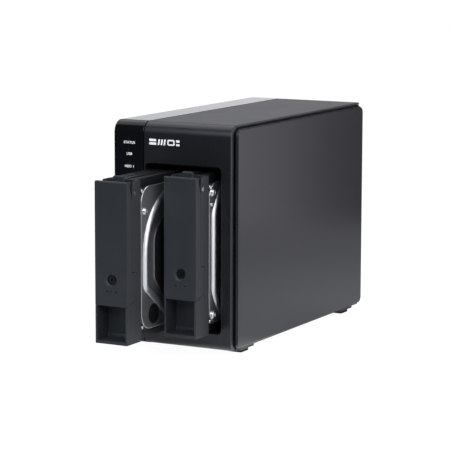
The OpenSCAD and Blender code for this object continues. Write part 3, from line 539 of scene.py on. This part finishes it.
def resampled(path, count):
    """The closed outline again, as count points at even steps."""
    lengths = [(b - a).length for a, b in zip(path, path[1:] + path[:1])]
    step = sum(lengths) / count
    points = []
    travelled = 0.0
    for (a, b), length in zip(zip(path, path[1:] + path[:1]), lengths):
        while len(points) * step < travelled + length - 1e-9 and len(points) < count:
            points.append(a + (b - a) * ((len(points) * step - travelled) / length))
        travelled += length
    return points


def offset(path, distance):
    """The closed outline moved outwards, or inwards where distance is negative."""
    moved = []
    for before, point, after in zip(path[-1:] + path[:-1], path, path[1:] + path[:1]):
        along = (after - before).normalized()
        moved.append(point + Vector((along.y, -along.x)) * distance)
    return moved


# ---------- the drives ----------

# Outline of the lid, the crest of its pressed bead, and its label, as corners of (y, z, radius) in the tray's frame
LID = ((20.2, 26.2, 12), (166.6, 26.2, 12), (166.6, 128.2, 12), (20.2, 128.2, 12))
BEADS = {
    "left": ((26.6, 57.8, 5), (61.6, 31.2, 12), (158, 31.2, 22), (158, 121.8, 22), (26.6, 122.9, 43.5)),
    "right": ((28.0, 50.0, 6), (38.4, 31.2, 8), (158, 31.2, 22), (158, 121.8, 22), (38.4, 121.8, 8),
        (28.0, 105.5, 6)),
}
LABELS = {
    "left": ((38.0, 61.5, 7), (57.5, 39.8, 6), (140, 40.0, 8), (152, 52, 8), (152, 102, 8), (140, 113, 8),
        (60.5, 113, 8), (38.0, 93.2, 16)),
    "right": ((38.0, 55, 6), (48, 40.0, 6), (140, 40.0, 8), (152, 52, 8), (152, 102, 8), (140, 113, 8),
        (48, 113, 8), (38.0, 101, 8)),
}
LID_CENTRE = Vector((93, 77))
# Heights in X of the lid's lower edge, its flange, the crest of the bead, the field inside it, and the label's bed
LID_FOOT, FLANGE, CREST, FIELD, LABEL_BED = 24.95, 25.7, 27.35, 26.0, 25.75
# Widths of the bead outside and inside of its crest, and the radius of its rounded outside
BEAD_OUT, BEAD_IN, BEAD_CURVE = 4.0, 1.7, 5.75
EDGE_ROLL = 0.22
# The small ridge round the label's bed: pairs of distance outside the bed and height over the field
BED_RIDGE = ((1.2, 0), (1.0, 0.03), (0.5, 0.3), (0.2, 0.33))
# Distances of the loops that keep the flange flat, from the rim and from the foot of the bead
RIM_LOOP, BEAD_LOOP = 0.5, 0.15
ROLL_TURNS, DOME_STEPS, FALL_STEPS = (30, 60, 90), 12, 8
LID_SMOOTH = 50


def lid_mesh(side):
    """The stamped lid: a plate with rolled edges, a bead pressed outwards, and a sunk bed for the label."""
    outlines = [rounded_path(corners) for corners in (LID, BEADS[side], LABELS[side])]
    angles = sorted({round(math.atan2(p.y - LID_CENTRE.y, p.x - LID_CENTRE.x), 2)
        for outline in outlines for p in resampled(outline, 200)})
    rim, crest, bed = ([on_ray(outline, LID_CENTRE, angle) for angle in angles] for outline in outlines)
    rings = [(rim, LID_FOOT), (rim, FLANGE - EDGE_ROLL)]
    for turn in ROLL_TURNS:
        rings.append((offset(rim, -EDGE_ROLL * (1 - math.cos(math.radians(turn)))),
            FLANGE - EDGE_ROLL * (1 - math.sin(math.radians(turn)))))
    rings += [(offset(rim, -RIM_LOOP), FLANGE), (offset(crest, BEAD_OUT + BEAD_LOOP), FLANGE)]
    arc = math.asin(BEAD_OUT / BEAD_CURVE)
    for step in range(DOME_STEPS + 1):
        turn = arc * (1 - step / DOME_STEPS)
        rings.append((offset(crest, BEAD_CURVE * math.sin(turn)), CREST - BEAD_CURVE * (1 - math.cos(turn))))
    for step in range(1, FALL_STEPS + 1):
        share = step / FALL_STEPS
        rise = 1 - share * share * (3 - 2 * share)
        rings.append((offset(crest, -BEAD_IN * share), FIELD + (CREST - FIELD) * rise))
    rings += [(offset(bed, out), FIELD + rise) for out, rise in BED_RIDGE]
    rings.append((bed, LABEL_BED))
    loops = [[in_tray(side, x, p.x, p.y) for p in path] for path, x in rings]
    return closed_mesh(f"{side}_drive_lid", loops, LID_SMOOTH)


def in_tray(side, x, y, z):
    """A point in the tray's frame, in millimetres from the block's left face, its front face and the table."""
    corner = TRAY_CORNER[side]
    return Vector((corner.x + x * MM, corner.y + y * MM, z * MM))


def plate_mesh(name, side, path, low, high, roll=0.12):
    """A thin plate that lies on the lid, with its outer edge rolled over."""
    rings = [(path, low), (path, high - roll), (offset(path, -roll * 0.3), high - roll * 0.3),
        (offset(path, -roll), high)]
    return closed_mesh(name, [[in_tray(side, x, p.x, p.y) for p in ring] for ring, x in rings])


# A screw's head and the recess in it, as pairs of reach and height in shares of the head's radius, and how far the
# recess's six lobes go in and out
HEAD_DOME = ((1.0, -0.3), (1.0, 0.1), (0.97, 0.22), (0.9, 0.34), (0.78, 0.44), (0.62, 0.5), (0.54, 0.52))
HEAD_RECESS = ((0.46, 0.51), (0.42, 0.45), (0.4, 0.05))
LOBE = 0.16
HEAD_POINTS = 48


def torx_mesh(name, side, spots, base):
    """Pan head screws that face +X, each with a six-lobed recess. A spot is (y, z, radius)."""
    turns = [math.tau * k / HEAD_POINTS for k in range(HEAD_POINTS)]
    rings = [[(share, height)] * HEAD_POINTS for share, height in HEAD_DOME]
    rings += [[(share * (1 + LOBE * math.cos(6 * t)), height) for t in turns] for share, height in HEAD_RECESS]
    joined = bmesh.new()
    for y, z, radius in spots:
        head = closed_mesh("head", [[in_tray(side, base + height * radius, y + share * radius * math.cos(t),
            z + share * radius * math.sin(t)) for t, (share, height) in zip(turns, ring)] for ring in rings])
        joined.from_mesh(head)
        bpy.data.meshes.remove(head)
    return smoothed(as_mesh(name, joined))


# The screws of each lid, and those in the casting's corners with their base in X. A screw is (y, z, radius).
SCREWS = {
    "left": ((25.6, 110.9, 2.75), (162.5, 76, 2.3), (110, 124.9, 1.5), (110, 28.4, 1.5)),
    "right": ((25.7, 121.0, 2.9), (24.0, 112.6, 1.4), (25.7, 32.4, 2.9), (162.5, 76, 2.3), (110, 124.9, 1.5),
        (110, 28.4, 1.5)),
}
CORNER_SCREWS, CORNER_BASE = ((23.4, 125.4, 1.3), (23.4, 28.0, 1.3)), 24.4
# The round seal on the left lid: its middle, and the radius and the base in X of its two layers
SEAL_PLACE = (37.2, 36.1)
SEAL_LAYERS = {"left_drive_seal": (7.2, FLANGE - 0.05), "left_drive_seal_ring": (3.96, FLANGE + 0.1)}
# Thickness of a sticker, and the gap round the label in its bed
STICKER, LABEL_GAP, LABEL_POINTS = 0.2, 0.5, 160


def make_drives():
    """Lids in place of the plain covers, with their labels, screws and seal."""
    for side in SIDES:
        body = f"{side}_tray"
        lid = add_piece(f"{side}_drive_lid", lid_mesh(side), body, FINISHES["drive_cover_steel"])
        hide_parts(f"{side}_drive_cover")
        label_path = offset(resampled(rounded_path(LABELS[side]), LABEL_POINTS), -LABEL_GAP)
        label = plate_mesh(f"{side}_drive_label", side, label_path, LABEL_BED, LABEL_BED + STICKER)
        add_piece(f"{side}_drive_label", label, body, LABEL)
        screws = torx_mesh(f"{side}_lid_screws", side, SCREWS[side], FLANGE)
        heads = add_piece(f"{side}_lid_screws", screws, body, FINISHES["screw_steel"])
        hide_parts(f"{side}_cover_screws")
        corners = torx_mesh(f"{side}_corner_screws", side, CORNER_SCREWS, CORNER_BASE)
        add_piece(f"{side}_corner_screws", corners, body, FINISHES["screw_steel"])
    for name, (radius, base) in SEAL_LAYERS.items():
        disc = plate_mesh(name, "left", round_path(*SEAL_PLACE, radius), base, base + STICKER)
        add_piece(name, disc, "left_tray", SEAL_AND_MARK_SHADE)


# ---------- printing ----------

# Depth of the ink in millimetres, how much bolder than the plain letters it prints, as a share of their size, and
# how far apart the letters stand
INK_DEPTH, BOLD, SPACING = 0.03, 0.025, 1.1
FRONT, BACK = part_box("front_bezel")[0].y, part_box("rear_panel")[1].y


def on_panel(u, v, lift, back=False):
    """A point on the front, or on the back, at X and Z in millimetres, standing out by lift."""
    if back:
        return Vector((u * MM, BACK + lift * MM, v * MM))
    return Vector((u * MM, FRONT - lift * MM, v * MM))


def print_text(name, words, size, u, v, back=False):
    """Words printed on the front or the back, centred on a point."""
    curve = bpy.data.curves.new(name, "FONT")
    curve.body = words
    curve.size = size * MM
    curve.align_x, curve.align_y = "CENTER", "CENTER"
    curve.extrude = INK_DEPTH / 2 * MM
    curve.offset = BOLD * size * MM
    curve.space_character = SPACING
    text = bpy.data.objects.new(name + "_curve", curve)
    bpy.context.scene.collection.objects.link(text)
    bpy.context.view_layer.update()
    mesh = bpy.data.meshes.new_from_object(text.evaluated_get(bpy.context.evaluated_depsgraph_get()))
    bpy.data.objects.remove(text)
    turn = Matrix.Rotation(math.pi if back else 0, 4, "Z") @ Matrix.Rotation(math.pi / 2, 4, "X")
    mesh.transform(Matrix.Translation(on_panel(u, v, 0, back)) @ turn)
    mesh.materials.clear()
    add_piece(name, mesh, "enclosure", INK_WITH_PAINTED_GLOW)


def print_shape(name, path, stroke=0.0):
    """A filled outline printed on the front, or only its border if stroke is given."""
    lifts = ((path, -INK_DEPTH / 2), (path, INK_DEPTH / 2))
    if stroke:
        inner = offset(path, -stroke)
        lifts += ((inner, INK_DEPTH / 2), (inner, -INK_DEPTH / 2))
    loops = [[on_panel(p.x, p.y, lift) for p in ring] for ring, lift in lifts]
    add_piece(name, closed_mesh(name, loops, hollow=stroke > 0), "enclosure", INK_WITH_PAINTED_GLOW)


def rectangle(u0, v0, u1, v1, radius, slant=0.0):
    """The outline of a rounded rectangle, whose top is shifted by slant."""
    corners = ((u0, v0), (u1, v0), (u1 + slant, v1), (u0 + slant, v1))
    return rounded_path([(*corner, radius) for corner in corners], 6)


# Words with their height on the column, and words with their place on the back
LEGENDS = (("STATUS", 152.7), ("USB", 144.4), ("HDD 1", 135.2), ("HDD 2", 126.0))
BACK_LEGENDS = (("USB", -33.4, 68.2), ("DC IN", -35.2, 39.4), ("MODE", -34.6, 95.6), ("SET", -35.1, 110.0))
LEGEND_SIZE, BACK_LEGEND_SIZE = 2.5, 2.6
# The mark: its lower edge, the lower edge of its upper row, its top, and its sizes
MARK_LOW, MARK_UPPER, MARK_TOP = 152.1, 154.6, 156.35
UNIT_HEIGHT, LINK_WIDTH, LINK_SLANT, SLOT_HEIGHT, DRIVE_STROKE = 1.75, 1.35, 0.75, 1.4, 1.05


def make_printing():
    """The words by the indicators and the ports, and a plain mark for networked drives on the bezel."""
    pipes_lo, pipes_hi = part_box("light_pipes")
    column_u = (pipes_lo.x + pipes_hi.x) / 2 / MM
    for words, v in LEGENDS:
        print_text("legend_" + words.lower().replace(" ", "_"), words, LEGEND_SIZE, column_u, v)
    for words, u, v in BACK_LEGENDS:
        print_text("back_" + words.lower().replace(" ", "_"), words, BACK_LEGEND_SIZE, u, v, True)
    # The mark: two stacked units, three links and a drive
    for i, v in enumerate((MARK_LOW, MARK_UPPER)):
        print_shape(f"mark_unit_{i + 1}", rectangle(-18.7, v, -12.9, v + UNIT_HEIGHT, 0.5))
    for i, u in enumerate((-11.7, -9.3, -6.9)):
        print_shape(f"mark_link_{i + 1}", rectangle(u, MARK_LOW, u + LINK_WIDTH, MARK_TOP, 0.35, LINK_SLANT))
    print_shape("mark_drive", rectangle(-3.6, MARK_LOW, 2.4, MARK_TOP, 1.1), DRIVE_STROKE)
    print_shape("mark_drive_slot", rectangle(3.5, MARK_LOW, 6.5, MARK_LOW + SLOT_HEIGHT, 0.5))
    print_shape("mark_drive_light", rectangle(3.5, MARK_UPPER, 6.5, MARK_TOP, 0.7))


# The three sunk marks below each lock: places in X from the middle of the tray, height over the table, radius of the
# round ones, half width and half height of the slot, and the bottom and top, below the handle's face, of the
# near-black fill that paints the shade inside them
SUNK_SPOTS, SUNK_HEIGHT = (-3.2, 0.0, 4.2), 56.4
SUNK_RADIUS, SLOT_HALF = 0.62, (0.19, 0.95)
SHADE_FILL_DEPTHS = (0.38, 0.12)


def make_lock_mark_shade():
    """Near-black fill in the sunk marks below each lock: painted shade for the dark inside them."""
    for side in SIDES:
        lo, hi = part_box(f"{side}_tray_handle")
        middle = (lo.x + hi.x) / 2 / MM
        face = (FRONT - lo.y) / MM
        for i, u in enumerate(SUNK_SPOTS):
            if u:
                path = round_path(middle + u, SUNK_HEIGHT, SUNK_RADIUS, 32)
            else:
                across, up = SLOT_HALF
                path = rectangle(middle - across, SUNK_HEIGHT - up, middle + across, SUNK_HEIGHT + up, 0.1)
            loops = [[on_panel(p.x, p.y, face - depth) for p in path] for depth in SHADE_FILL_DEPTHS]
            # Each fill is painted shade in its sunk mark.
            add_piece(f"{side}_lock_mark_{i + 1}", closed_mesh("lock_mark", loops), f"{side}_handle", SEAL_AND_MARK_SHADE)


# ---------- ports and fan ----------

def turned_mesh(name, centre, profile, count=48):
    """A round piece about an axis along Y, from pairs of radius and Y in millimetres about its centre."""
    loops = [[centre + Vector((p.x, y, p.y)) * MM for p in round_path(0, 0, radius, count)]
        for radius, y in profile]
    return closed_mesh(name, loops)


# Profiles of the inlet's pin and the label on the fan's hub, as pairs of radius and Y, and the pin's distance from
# the inlet's left face
PIN_PROFILE = ((1.06, -9.8), (1.06, -1.3), (0.95, -0.85), (0.6, -0.62))
LABEL_PROFILE = ((10.6, -0.05), (10.6, 0.05), (10.5, 0.1))
PIN_INSET = 5
# A contact's size, how far the two rows stand from the middle of the port, its depth in the port, and the pitch
CONTACT_SIZE, CONTACT_COUNT = (0.06, 3.2, 0.28), 12
CONTACT_ROW, CONTACT_DEPTH, CONTACT_PITCH = 0.36, 2.6, 0.5


def make_port_details():
    """The inlet's centre pin, the USB port's contacts, and the round label on the fan's hub."""
    lo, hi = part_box("dc_inlet")
    middle = Vector((lo.x + PIN_INSET * MM, hi.y, (lo.z + hi.z) / 2))
    pin = turned_mesh("dc_centre_pin", middle, PIN_PROFILE)
    add_piece("dc_centre_pin", pin, "enclosure", FINISHES["port_steel"])
    lo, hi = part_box("usb_port")
    contacts = bmesh.new()
    for face in (-1, 1):
        for k in range(CONTACT_COUNT):
            strip = bmesh.ops.create_cube(contacts, size=1)["verts"]
            bmesh.ops.scale(contacts, vec=Vector(CONTACT_SIZE) * MM, verts=strip)
            middle = ((lo.x + hi.x) / 2 + face * CONTACT_ROW * MM, hi.y - CONTACT_DEPTH * MM,
                (lo.z + hi.z) / 2 + (k - (CONTACT_COUNT - 1) / 2) * CONTACT_PITCH * MM)
            bmesh.ops.translate(contacts, vec=middle, verts=strip)
    add_piece("usb_contacts", as_mesh("usb_contacts", contacts), "enclosure", GOLD)
    lo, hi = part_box("fan_frame")
    hub = Vector(((lo.x + hi.x) / 2, hi.y, (lo.z + hi.z) / 2))
    label = turned_mesh("fan_label", hub, LABEL_PROFILE, 64)
    add_piece("fan_label", label, "enclosure", FINISHES["heatsink_aluminium"])


make_camera()
make_world()
make_stage()
finish_cad_nodes()
soften_all()
make_drives()
make_printing()
make_lock_mark_shade()
make_port_details()
